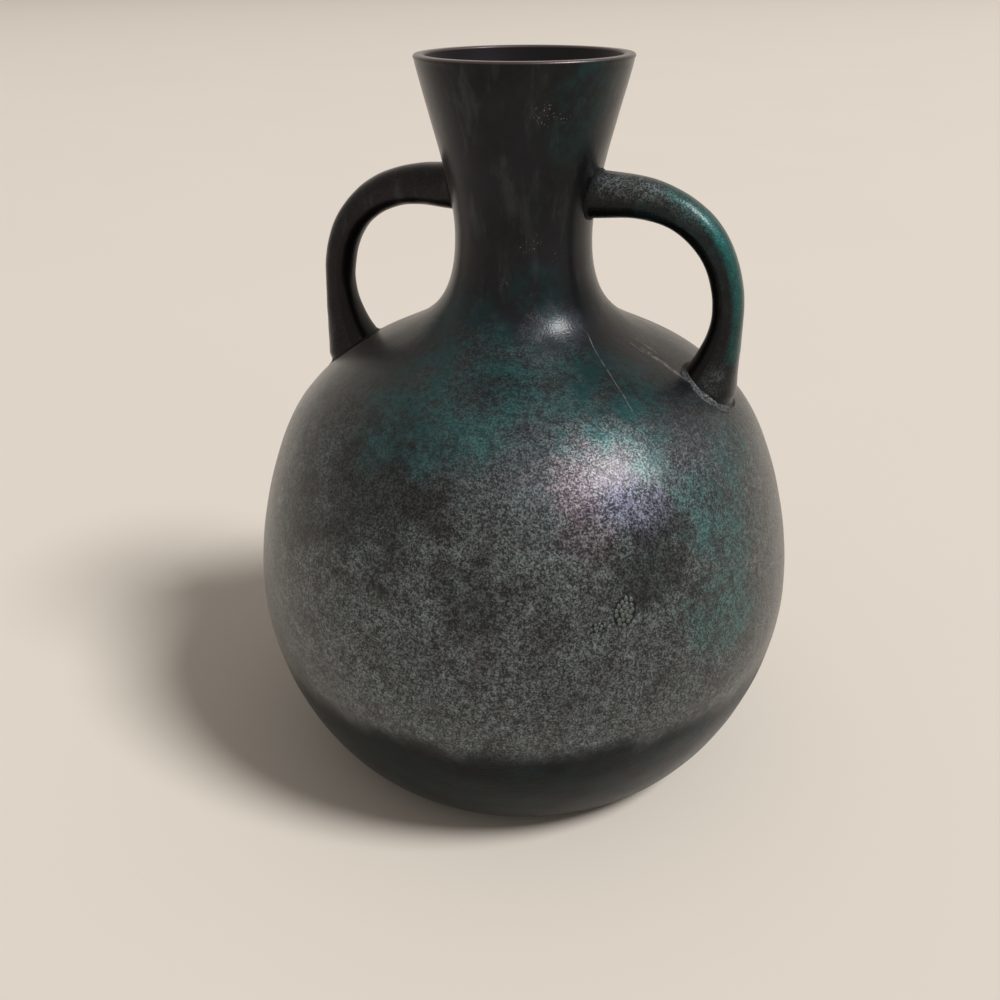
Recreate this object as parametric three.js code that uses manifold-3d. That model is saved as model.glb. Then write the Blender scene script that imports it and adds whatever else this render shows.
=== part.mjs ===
// A round-bellied bronze vase with a flared neck and two ear handles, as an assembly of its castings.
// Millimetres, +Z up, origin at the middle of the foot rim, handles along X.
// The body is one hollow casting, open at the bottom, where a disc is let into a rebate and soldered.
// Each handle is a casting of its own: a tenon at each end goes through the wall, and a bead of
// brazing metal runs round each root.
import * as THREE from "three";
import { mergeVertices, toCreasedNormals } from "three/addons/utils/BufferGeometryUtils.js";
import Module from "manifold-3d";

const wasm = await Module();
wasm.setup();

// Outline of the body: the radius and height of each place where the curve changes
const HEIGHT = 225;
const MOUTH_RADIUS = 31.2;
const MOUTH_LEAN = 11; // degrees that the neck leans out from upright at the mouth
const WAIST_RADIUS = 20.8;
const WAIST_HEIGHT = 175;
const SHOULDER_RADIUS = 71;
const SHOULDER_HEIGHT = 123;
const SHOULDER_SLOPE = 50; // degrees up from level
const BELLY_RADIUS = 88.6;
const BELLY_HEIGHT = 62;
const BASE_RADIUS = 59.5;
const BASE_SLOPE = 27; // degrees up from level

// Fullness of the curves: how far each one holds its direction as it leaves a place
const BASE_HOLD = 18.5;
const BELLY_HOLD_BELOW = 21.5;
const BELLY_HOLD_ABOVE = 23;
const SHOULDER_HOLD_BELOW = 13;
const SHOULDER_HOLD_ABOVE = 36;
const WAIST_HOLD_BELOW = 36.5;
const WAIST_HOLD_ABOVE = 14.5;
const MOUTH_HOLD = 13;

// Walls and edges
const WALL = 3;
const LIP_WALL = 3.4;
const LIP_ROUND = 0.7;
const FOOT_ROUND = 1.2;
const FOOT_RIM_WIDTH = 2.6; // the flat ring that the vase stands on

// Bottom disc in its rebate
const DISC_THICKNESS = 2.6;
const DISC_RECESS = 2.2; // how far the disc lies above what the vase stands on
const LEDGE_WIDTH = 5;
const LEDGE_THICKNESS = 2.8;
const SOLDER_LEG = 1.5;
const SOLDER_HOLLOW = 0.9; // radius of the hollow face

// Handles: the centre line leaves the neck level, turns down over the crown and lands on the shoulder
const ROOT_HEIGHT = 187.6;
const ROOT_STRAIGHT = 8; // level stretch outside the neck
const HANDLE_REACH = 62.8;
const HANDLE_SIDE_HEIGHT = 155;
const CROWN_FULLNESS = 0.6; // 0.55 would be a quarter of an ellipse
const FOOT_LANDING_RADIUS = 59;
const FOOT_LEAN = 17; // degrees that the foot leans in from upright
const FOOT_HOLD = 7;

// Oval section of a handle: thickness is measured in the plane of the loop, width across it
const SIDE_THICKNESS = 9.4;
const SIDE_WIDTH = 10.8;
const ROOT_THICKNESS = 14;
const ROOT_WIDTH = 13.4;
const ROOT_TAPER_LENGTH = 60;
const FOOT_THICKNESS = 17.8;
const FOOT_WIDTH = 18.8;
const FOOT_FLARE_LENGTH = 24;
const SECTION_SQUARENESS = 2.3; // 2 is an ellipse

// Tenons and brazing
const TENON_RADIUS = 3.6;
const TENON_PROUD = 0.6; // how far a tenon stands out of the inner wall
const TENON_ROOM = 0.3; // clearance round a tenon in its hole
const SEAT_GAP = 0.3; // room for solder or brazing metal between two pieces
const BEAD_RADIUS = 1.1;

// Fineness of the surfaces
const ROUND_STEPS = 48;
const CURVE_STEPS = [9, 8, 11, 7]; // base, belly, shoulder and neck curves
const INSIDE_CURVE_STEPS = [5, 5, 7, 4];
const EDGE_STEPS = 3;
const HANDLE_STEPS = 30;
const HANDLE_SIDES = 16;
const BEAD_STEPS = 32;
const BEAD_SIDES = 6;
const TENON_SIDES = 20;
const CREASE_ANGLE = Math.PI / 6;
const SAME_POINT = 1e-4; // points closer than this are one
const HALVINGS = 30; // of the search for a bead's line

const BRONZE = { roughness: 0.42, metalness: 0.85 };
const patina = new THREE.MeshStandardMaterial({ color: 0x2b3431, ...BRONZE });
const handlePatina = new THREE.MeshStandardMaterial({ color: 0x1f2a29, ...BRONZE });
const brazing = new THREE.MeshStandardMaterial({ color: 0x4a4a44, roughness: 0.6, metalness: 0.8 });
const solder = new THREE.MeshStandardMaterial({ color: 0x55534e, roughness: 0.55, metalness: 0.8 });

const radians = THREE.MathUtils.degToRad;
const point = (radius, height) => new THREE.Vector2(radius, height);
const direction = (slope) => point(Math.cos(radians(slope)), Math.sin(radians(slope)));

/** The curve between two places, given each place's direction of travel and how long it is held. */
function stretch(from, fromWay, fromHold, to, toWay, toHold) {
  const leaving = from.clone().addScaledVector(fromWay, fromHold);
  const arriving = to.clone().addScaledVector(toWay, -toHold);
  return new THREE.CubicBezierCurve(from, leaving, arriving, to);
}

const up = point(0, 1);
const base = point(BASE_RADIUS, 0);
const belly = point(BELLY_RADIUS, BELLY_HEIGHT);
const shoulder = point(SHOULDER_RADIUS, SHOULDER_HEIGHT);
const waist = point(WAIST_RADIUS, WAIST_HEIGHT);
const mouth = point(MOUTH_RADIUS, HEIGHT);
const shoulderWay = direction(180 - SHOULDER_SLOPE);
const outline = [
  stretch(base, direction(BASE_SLOPE), BASE_HOLD, belly, up, BELLY_HOLD_BELOW),
  stretch(belly, up, BELLY_HOLD_ABOVE, shoulder, shoulderWay, SHOULDER_HOLD_BELOW),
  stretch(shoulder, shoulderWay, SHOULDER_HOLD_ABOVE, waist, up, WAIST_HOLD_BELOW),
  stretch(waist, up, WAIST_HOLD_ABOVE, mouth, direction(90 - MOUTH_LEAN), MOUTH_HOLD),
];

/** Points of the outline from base to mouth, moved outwards by grow, or inwards where it is negative. */
function outlinePoints(grow, growAtMouth = grow, curveSteps = CURVE_STEPS) {
  const points = [];
  outline.forEach((curve, index) => {
    const steps = curveSteps[index];
    const last = index === outline.length - 1;
    for (let step = index === 0 ? 0 : 1; step <= steps; step++) {
      const t = step / steps;
      const along = curve.getTangent(t);
      const distance = last ? THREE.MathUtils.lerp(grow, growAtMouth, t) : grow;
      points.push(curve.getPoint(t).add(point(along.y, -along.x).multiplyScalar(distance)));
    }
  });
  return points;
}

/** Radius of a line of points at a height, searched from the mouth down. */
function radiusAt(points, height) {
  for (let i = points.length - 1; i > 0; i--) {
    const [low, high] = [points[i - 1], points[i]];
    if (low.y <= height && height <= high.y) {
      return THREE.MathUtils.mapLinear(height, low.y, high.y, low.x, high.x);
    }
  }
  return (height > points.at(-1).y ? points.at(-1) : points[0]).x;
}

/** Height of a line of points at a radius, searched from the waist down over the shoulder. */
function heightAt(points, radius) {
  const atWaist = points.length - 1 - CURVE_STEPS.at(-1);
  for (let i = atWaist; i > 0; i--) {
    const [low, high] = [points[i - 1], points[i]];
    if (high.x <= radius && radius <= low.x) {
      return THREE.MathUtils.mapLinear(radius, high.x, low.x, high.y, low.y);
    }
  }
  return points[atWaist].y;
}

/** Quarter of a circle round centre, from one angle to another in degrees, for a rounded edge. */
function roundedEdge(centre, radius, fromAngle, toAngle) {
  return Array.from({ length: EDGE_STEPS + 1 }, (_, step) => {
    const angle = THREE.MathUtils.lerp(fromAngle, toAngle, step / EDGE_STEPS);
    return centre.clone().addScaledVector(direction(angle), radius);
  });
}

/** A closed profile turned about the vertical axis. Its points run anticlockwise, radius to the right. */
function turned(profile) {
  return new THREE.LatheGeometry(profile, ROUND_STEPS).rotateX(Math.PI / 2);
}

/** The closed surface of a geometry as a solid that can be cut and joined. */
function solidOf(geometry) {
  const bare = new THREE.BufferGeometry();
  bare.setAttribute("position", geometry.getAttribute("position"));
  bare.setIndex(geometry.index);
  const merged = mergeVertices(bare, SAME_POINT);
  const vertProperties = merged.attributes.position.array;
  const triVerts = new Uint32Array(merged.index.array);
  return new wasm.Manifold(new wasm.Mesh({ numProp: 3, vertProperties, triVerts }));
}

/** A solid as a geometry, smooth where it is round and sharp at its edges. */
function geometryOf(solid) {
  const { vertProperties, triVerts } = solid.getMesh();
  const geometry = new THREE.BufferGeometry();
  geometry.setAttribute("position", new THREE.BufferAttribute(vertProperties, 3));
  geometry.setIndex(new THREE.BufferAttribute(triVerts, 1));
  return toCreasedNormals(geometry, CREASE_ANGLE);
}

/** Everything inside the outline once that has been moved outwards by grow, filled to the axis. */
function filledBody(grow) {
  const points = outlinePoints(grow);
  const [bottom, top] = [points[0], points.at(-1)];
  return solidOf(turned([point(0, bottom.y), ...points, point(0, top.y)]));
}

// Base: the foot rim, and inside it the rebate that takes the disc from below
const rebateRadius = BASE_RADIUS - FOOT_ROUND - FOOT_RIM_WIDTH;
const discRadius = rebateRadius - SEAT_GAP;
const discTop = DISC_RECESS + DISC_THICKNESS;
const ledgeUnderside = discTop + SEAT_GAP;
const ledgeTop = ledgeUnderside + LEDGE_THICKNESS;
const ledgeRadius = rebateRadius - LEDGE_WIDTH;

/** The body casting: one closed wall profile, turned, with a hole for each of the four tenons. */
function bodyCasting(tenonHoles) {
  const outside = outlinePoints(0).filter((p) => p.y > FOOT_ROUND && p.y < HEIGHT - LIP_ROUND);
  const inside = outlinePoints(-WALL, -LIP_WALL, INSIDE_CURVE_STEPS);
  const ledgeEnd = radiusAt(inside, ledgeTop);
  const innerWall = inside.filter((p) => p.y > ledgeTop && p.y < HEIGHT - LIP_ROUND);
  const innerMouth = MOUTH_RADIUS - LIP_WALL;
  const profile = [
    point(rebateRadius, 0),
    ...roundedEdge(point(BASE_RADIUS - FOOT_ROUND, FOOT_ROUND), FOOT_ROUND, -90, BASE_SLOPE - 90),
    ...outside,
    ...roundedEdge(point(MOUTH_RADIUS - LIP_ROUND, HEIGHT - LIP_ROUND), LIP_ROUND, 0, 90),
    ...roundedEdge(point(innerMouth + LIP_ROUND, HEIGHT - LIP_ROUND), LIP_ROUND, 90, 180),
    ...innerWall.reverse(),
    point(ledgeEnd, ledgeTop),
    point(ledgeRadius, ledgeTop),
    point(ledgeRadius, ledgeUnderside),
    point(rebateRadius, ledgeUnderside),
  ];
  const wall = solidOf(turned([...profile, profile[0].clone()]));
  return tenonHoles.reduce((solid, hole) => solid.subtract(hole), wall);
}

/** The flat disc that closes the bottom, let into the rebate under the ledge. */
function baseDisc() {
  return turned([
    point(0, DISC_RECESS), point(discRadius, DISC_RECESS), point(discRadius, discTop), point(0, discTop),
  ]);
}

/** The run of solder in the corner under the disc: a three-cornered ring with a hollow face. */
function baseSolder() {
  const outer = rebateRadius - SEAT_GAP;
  const top = DISC_RECESS - SEAT_GAP;
  const hollow = roundedEdge(point(outer - SOLDER_LEG, top - SOLDER_LEG), SOLDER_HOLLOW, 90, 0);
  const profile = [point(outer, top), point(outer - SOLDER_LEG, top), ...hollow, point(outer, top - SOLDER_LEG)];
  return turned([...profile, profile[0].clone()]);
}

// Centre line of the right handle in the XZ plane, and the axes of its two tenons
const outside = outlinePoints(0);
const neckRadius = radiusAt(outside, ROOT_HEIGHT);
const landing = point(FOOT_LANDING_RADIUS, heightAt(outside, FOOT_LANDING_RADIUS));
const crownStart = point(neckRadius + ROOT_STRAIGHT, ROOT_HEIGHT);
const side = point(HANDLE_REACH, HANDLE_SIDE_HEIGHT);
const level = point(1, 0);
const down = point(0, -1);
const footWay = direction(-90 - FOOT_LEAN);
const embed = WALL; // the centre line runs on into the wall, where the body cuts the handle off

const centreLine = new THREE.CurvePath();
centreLine.add(new THREE.LineCurve(point(neckRadius - embed, ROOT_HEIGHT), crownStart));
centreLine.add(
  stretch(
    crownStart, level, CROWN_FULLNESS * (HANDLE_REACH - crownStart.x),
    side, down, CROWN_FULLNESS * (ROOT_HEIGHT - HANDLE_SIDE_HEIGHT)),
);
const sideHold = (HANDLE_SIDE_HEIGHT - landing.y) / 3; // an even third, as on a straight stretch
centreLine.add(stretch(side, down, sideHold, landing, footWay, FOOT_HOLD));
centreLine.add(new THREE.LineCurve(landing, landing.clone().addScaledVector(footWay, 2 * embed)));
const lineLength = centreLine.getLength();
const landingDistance = lineLength - 2 * embed;

/** Half the size of the section at a distance along the centre line, from its three named sizes. */
function halfSize(distance, atRoot, atSide, atFoot) {
  const fromRoot = THREE.MathUtils.clamp((distance - embed) / ROOT_TAPER_LENGTH, 0, 1);
  const fromFoot = THREE.MathUtils.clamp((landingDistance - distance) / FOOT_FLARE_LENGTH, 0, 1);
  const taper = (atRoot - atSide) * (1 - fromRoot) ** 2;
  const flare = (atFoot - atSide) * (1 - fromFoot) ** 2;
  return (atSide + taper + flare) / 2;
}

/** A point of the handle's skin, or of that skin moved outwards by grow: turn is the angle round it. */
function skinPoint(distance, turn, grow = 0) {
  const t = distance / lineLength;
  const centre = centreLine.getPointAt(t);
  const along = centreLine.getTangentAt(t);
  const power = 2 / SECTION_SQUARENESS;
  const oval = (value) => Math.sign(value) * Math.abs(value) ** power;
  const across = oval(Math.cos(turn)) * (halfSize(distance, ROOT_THICKNESS, SIDE_THICKNESS, FOOT_THICKNESS) + grow);
  const sideways = oval(Math.sin(turn)) * (halfSize(distance, ROOT_WIDTH, SIDE_WIDTH, FOOT_WIDTH) + grow);
  return new THREE.Vector3(centre.x - along.y * across, sideways, centre.y + along.x * across);
}

/** The handle's skin as a closed loft: one ring of points for each step along the centre line. */
function handleLoft() {
  const positions = [];
  const faces = [];
  for (let step = 0; step <= HANDLE_STEPS; step++) {
    for (let i = 0; i < HANDLE_SIDES; i++) {
      const turn = (2 * Math.PI * i) / HANDLE_SIDES;
      positions.push(...skinPoint((step / HANDLE_STEPS) * lineLength, turn));
    }
  }
  const at = (step, i) => step * HANDLE_SIDES + (i % HANDLE_SIDES);
  for (let step = 0; step < HANDLE_STEPS; step++) {
    for (let i = 0; i < HANDLE_SIDES; i++) {
      faces.push(at(step, i), at(step + 1, i + 1), at(step, i + 1));
      faces.push(at(step, i), at(step + 1, i), at(step + 1, i + 1));
    }
  }
  for (let i = 1; i < HANDLE_SIDES - 1; i++) {
    faces.push(at(0, 0), at(0, i), at(0, i + 1));
    faces.push(at(HANDLE_STEPS, 0), at(HANDLE_STEPS, i + 1), at(HANDLE_STEPS, i));
  }
  const geometry = new THREE.BufferGeometry();
  geometry.setAttribute("position", new THREE.Float32BufferAttribute(positions, 3));
  return geometry.setIndex(faces);
}

/** A round rod from inside the body out into a handle's root, along the centre line there. */
function rod(seat, way, radius, inner, outer) {
  const geometry = new THREE.CylinderGeometry(radius, radius, inner + outer, TENON_SIDES);
  const axis = new THREE.Vector3(way.x, 0, way.y);
  geometry.applyQuaternion(new THREE.Quaternion().setFromUnitVectors(new THREE.Vector3(0, 1, 0), axis));
  const middle = seat.clone().addScaledVector(way, (inner - outer) / 2);
  return solidOf(geometry.translate(middle.x, 0, middle.y));
}

// The tenons' axes point into the body, from the place where the centre line meets the outside
const tenons = [
  { seat: point(neckRadius, ROOT_HEIGHT), way: point(-1, 0) },
  { seat: landing, way: footWay },
];
const tenonInner = 4 * WALL; // long enough to pass a wall that it meets at a slant
const tenonOuter = 2 * WALL;

/** The right handle: its loft, cut to sit on the body, with a tenon at each end. */
function handleCasting() {
  const above = solidOf(handleLoft()).subtract(filledBody(SEAT_GAP));
  const hollow = filledBody(-(WALL + TENON_PROUD));
  return tenons.reduce((solid, { seat, way }) => {
    return solid.add(rod(seat, way, TENON_RADIUS, tenonInner, tenonOuter).subtract(hollow));
  }, above);
}

/** The line on which a bead of the given radius lies against both the handle and the body. */
function rootLine(nearFoot) {
  const away = BEAD_RADIUS + SEAT_GAP;
  const body = outlinePoints(away);
  const gap = (distance, turn) => {
    const place = skinPoint(distance, turn, away);
    return Math.hypot(place.x, place.y) - radiusAt(body, place.z);
  };
  return Array.from({ length: BEAD_STEPS }, (_, i) => {
    const turn = (2 * Math.PI * i) / BEAD_STEPS;
    let [buried, clear] = nearFoot ? [lineLength, lineLength / 2] : [0, lineLength / 2];
    for (let round = 0; round < HALVINGS; round++) {
      const middle = (buried + clear) / 2;
      if (gap(middle, turn) > 0) clear = middle;
      else buried = middle;
    }
    return skinPoint(clear, turn, away);
  });
}

/** The bead of brazing metal round a root, as a closed ring. */
function brazingBead(nearFoot) {
  const line = new THREE.CatmullRomCurve3(rootLine(nearFoot), true);
  return new THREE.TubeGeometry(line, BEAD_STEPS, BEAD_RADIUS, BEAD_SIDES, true);
}

/** One named piece. The left handle's pieces are the right one's, turned half round the vase. */
function piece(name, geometry, material, turn = 0) {
  const mesh = new THREE.Mesh(geometry, material);
  mesh.name = name;
  mesh.rotation.z = turn;
  return mesh;
}

const holes = tenons.map(({ seat, way }) => rod(seat, way, TENON_RADIUS + TENON_ROOM, tenonInner, tenonOuter));
const bothSides = [...holes, ...holes.map((hole) => hole.rotate([0, 0, 180]))];
const handle = geometryOf(handleCasting());

const vase = new THREE.Group();
vase.add(piece("vase_body", geometryOf(bodyCasting(bothSides)), patina));
vase.add(piece("base_disc", baseDisc(), patina));
vase.add(piece("base_solder", baseSolder(), solder));
for (const [sideName, turn] of [["right", 0], ["left", Math.PI]]) {
  vase.add(piece(`${sideName}_handle`, handle, handlePatina, turn));
  vase.add(piece(`${sideName}_handle_neck_bead`, brazingBead(false), brazing, turn));
  vase.add(piece(`${sideName}_handle_shoulder_bead`, brazingBead(true), brazing, turn));
}

export default vase;
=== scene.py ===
"""A patinated bronze vase with two ear handles, dressed over its packed castings.

Metres, +Z up, origin at the middle of the foot rim, handles along X.  The body, the handles and the
joints are surfaces worked out with numpy from the vase's own sizes, which are written in millimetres.
"""
from __future__ import annotations

import logging
import sys
from dataclasses import dataclass, field
from enum import Enum
from functools import partial

import bpy
import numpy as np
from mathutils import Matrix, Vector


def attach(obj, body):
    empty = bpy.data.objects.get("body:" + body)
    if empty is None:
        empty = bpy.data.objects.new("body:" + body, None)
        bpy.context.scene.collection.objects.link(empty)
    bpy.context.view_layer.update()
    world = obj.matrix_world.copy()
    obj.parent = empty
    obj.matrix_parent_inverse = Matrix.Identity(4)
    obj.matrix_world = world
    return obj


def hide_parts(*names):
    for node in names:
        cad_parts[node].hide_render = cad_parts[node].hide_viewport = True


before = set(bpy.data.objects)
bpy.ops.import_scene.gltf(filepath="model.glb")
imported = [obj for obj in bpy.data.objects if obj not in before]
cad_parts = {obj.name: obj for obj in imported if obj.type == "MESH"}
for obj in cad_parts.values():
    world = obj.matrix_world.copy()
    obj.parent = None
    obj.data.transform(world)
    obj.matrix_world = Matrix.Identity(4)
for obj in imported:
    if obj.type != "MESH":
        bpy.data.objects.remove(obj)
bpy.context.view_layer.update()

log = logging.getLogger("vase")
MM = 0.001
SEED = 7

Array = np.ndarray
Colour = str | bpy.types.NodeSocket


class Side(Enum):
    """The two handles, by the sign of X on which each stands."""

    RIGHT = 1
    LEFT = -1

    @property
    def label(self) -> str:
        """Name of the side, as the nodes use it."""
        return self.name.lower()


class Root(Enum):
    """The two ends of a handle."""

    NECK = "neck"
    SHOULDER = "shoulder"


def unit(vectors: Array) -> Array:
    """Vectors divided by their lengths.

    Args:
        vectors: any array whose last axis holds the components.

    Returns:
        An array of the same shape, with every length 1.
    """
    return vectors / np.linalg.norm(vectors, axis=-1, keepdims=True)


def direction(degrees: float) -> Array:
    """Unit vector in the plane of radius and height, at an angle up from level."""
    angle = np.radians(degrees)
    return np.array([np.cos(angle), np.sin(angle)])


def cubic(start: Array, leave: Array, arrive: Array, end: Array, t: Array) -> Array:
    """Cubic curve: each point is the four places weighted by (1-t)^3, 3t(1-t)^2, 3t^2(1-t) and t^3.

    Args:
        start: where the curve begins.
        leave: the place that its start heads for.
        arrive: the place that its end comes from.
        end: where it ends.
        t: parameters from 0 to 1.

    Returns:
        One point for each parameter.
    """
    s = t[:, None]
    return ((1 - s) ** 3 * start + 3 * s * (1 - s) ** 2 * leave
            + 3 * s * s * (1 - s) * arrive + s ** 3 * end)


def smoothstep(low: float, high: float, value: Array) -> Array:
    """0 below low, 1 above high, and 3x^2 - 2x^3 between them."""
    x = np.clip((value - low) / (high - low), 0, 1)
    return x * x * (3 - 2 * x)


def waves(points: Array, wavelength: float, seed: int, count: int = 10) -> Array:
    """Smooth unevenness: the mean of plane sine waves of about one length, running all ways.

    Args:
        points: places in millimetres, with the components on the last axis.
        wavelength: typical distance between crests, in millimetres.
        seed: number that sets the waves' directions, lengths and phases.
        count: how many waves are added.

    Returns:
        A value of about -1 to 1 for each place.
    """
    random = np.random.default_rng(SEED + seed)
    ways = unit(random.normal(size=(count, 3)))
    lengths = wavelength * random.uniform(0.7, 1.5, count)
    phases = random.uniform(0, 2 * np.pi, count)
    return np.sin(points @ (ways * (2 * np.pi / lengths[:, None])).T + phases).mean(axis=-1) * 2


@dataclass(frozen=True)
class Outline:
    """The body's outside in millimetres: four cubic curves from the foot's edge to the lip."""

    height: float = 225
    mouth_radius: float = 31.2
    mouth_lean: float = 11
    waist_radius: float = 20.8
    waist_height: float = 175
    shoulder_radius: float = 71
    shoulder_height: float = 123
    shoulder_slope: float = 50
    belly_radius: float = 88.6
    belly_height: float = 62
    base_radius: float = 59.5
    base_slope: float = 27
    base_hold: float = 18.5
    belly_hold_below: float = 21.5
    belly_hold_above: float = 23
    shoulder_hold_below: float = 13
    shoulder_hold_above: float = 36
    waist_hold_below: float = 36.5
    waist_hold_above: float = 14.5
    mouth_hold: float = 13

    def points(self, steps: int = 400) -> Array:
        """Points of the outside, evenly spaced along it.

        Args:
            steps: how many points are wanted.

        Returns:
            Rows of radius and height, from the foot's edge up to the lip.
        """
        up = np.array([0.0, 1.0])
        shoulder_way = direction(180 - self.shoulder_slope)
        mouth_way = direction(90 - self.mouth_lean)
        base = np.array([self.base_radius, 0.0])
        belly = np.array([self.belly_radius, self.belly_height])
        shoulder = np.array([self.shoulder_radius, self.shoulder_height])
        waist = np.array([self.waist_radius, self.waist_height])
        mouth = np.array([self.mouth_radius, self.height])
        t = np.linspace(0, 1, 300)
        curves = [
            cubic(base, base + self.base_hold * direction(self.base_slope),
                  belly - self.belly_hold_below * up, belly, t),
            cubic(belly, belly + self.belly_hold_above * up,
                  shoulder - self.shoulder_hold_below * shoulder_way, shoulder, t)[1:],
            cubic(shoulder, shoulder + self.shoulder_hold_above * shoulder_way,
                  waist - self.waist_hold_below * up, waist, t)[1:],
            cubic(waist, waist + self.waist_hold_above * up,
                  mouth - self.mouth_hold * mouth_way, mouth, t)[1:],
        ]
        return even(np.vstack(curves), steps)

    def radius_at(self, height: Array) -> Array:
        """Radius of the outside at each height."""
        line = self.points()
        return np.interp(height, line[:, 1], line[:, 0])

    def normal_at(self, height: Array) -> Array:
        """Outward normal of the outside at each height, as rows of radius and height."""
        line = self.points()
        along = np.gradient(line, axis=0)
        normal = unit(np.stack([along[:, 1], -along[:, 0]], axis=1))
        return np.stack([np.interp(height, line[:, 1], normal[:, k]) for k in (0, 1)], axis=-1)


def even(line: Array, steps: int) -> Array:
    """A line's points moved so that they are evenly spaced along it.

    Args:
        line: rows of coordinates.
        steps: how many points are wanted.

    Returns:
        Rows of coordinates, from the same start to the same end.
    """
    lengths = np.r_[0, np.cumsum(np.linalg.norm(np.diff(line, axis=0), axis=1))]
    wanted = np.linspace(0, lengths[-1], steps)
    return np.stack([np.interp(wanted, lengths, line[:, k]) for k in range(line.shape[1])], axis=1)


def shifted(line: Array, distance: float | Array) -> Array:
    """A profile moved inwards: each point goes by a distance against its outward normal.

    Args:
        line: rows of radius and height that run upwards.
        distance: how far, in the same unit, for all points or for each.

    Returns:
        Rows of radius and height.
    """
    along = unit(np.gradient(line, axis=0))
    return line - np.stack([along[:, 1], -along[:, 0]], axis=1) * np.reshape(distance, (-1, 1))


def arc(centre: tuple[float, float], radius: float, start: float, end: float, steps: int = 6) -> Array:
    """Points of a circular arc round a centre, from one angle to another in degrees."""
    angles = np.radians(np.linspace(start, end, steps))
    return np.array(centre) + radius * np.stack([np.cos(angles), np.sin(angles)], axis=1)


def grid_mesh(name: str, points: Array, wrap_rows: bool, cap_ends: bool = False) -> bpy.types.Object:
    """A smooth mesh over a grid of points, closed round its columns.

    Args:
        name: name of the object.
        points: places in millimetres, as rows x columns x 3.
        wrap_rows: whether the last row joins the first, as on a ring.
        cap_ends: whether the first and last rows are closed with a face each.

    Returns:
        The object, in metres, with its origin at the vase's.
    """
    rows, columns = points.shape[:2]
    index = np.arange(rows * columns).reshape(rows, columns)
    across = np.roll(index, -1, axis=1)
    if wrap_rows:
        low, high = index, np.roll(index, -1, axis=0)
        low_next, high_next = across, np.roll(across, -1, axis=0)
    else:
        low, high, low_next, high_next = index[:-1], index[1:], across[:-1], across[1:]
    quads = np.stack([low, low_next, high_next, high], axis=-1).reshape(-1, 4)
    faces = quads.tolist()
    if cap_ends:
        faces += [index[0][::-1].tolist(), index[-1].tolist()]
    mesh = bpy.data.meshes.new(name)
    mesh.from_pydata((points.reshape(-1, 3) * MM).tolist(), [], faces)
    mesh.polygons.foreach_set("use_smooth", np.ones(len(faces), bool))
    mesh.update()
    piece = bpy.data.objects.new(name, mesh)
    bpy.context.scene.collection.objects.link(piece)
    return piece


def linear(hex_colour: str) -> tuple[float, float, float, float]:
    """An sRGB hex colour as the linear values that the shader takes.

    Args:
        hex_colour: such as "#2b3431".

    Returns:
        Red, green, blue and 1.
    """
    srgb = np.array([int(hex_colour[k:k + 2], 16) for k in (1, 3, 5)]) / 255
    value = np.where(srgb <= 0.04045, srgb / 12.92, ((srgb + 0.055) / 1.055) ** 2.4)
    return (*value.tolist(), 1.0)


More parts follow.
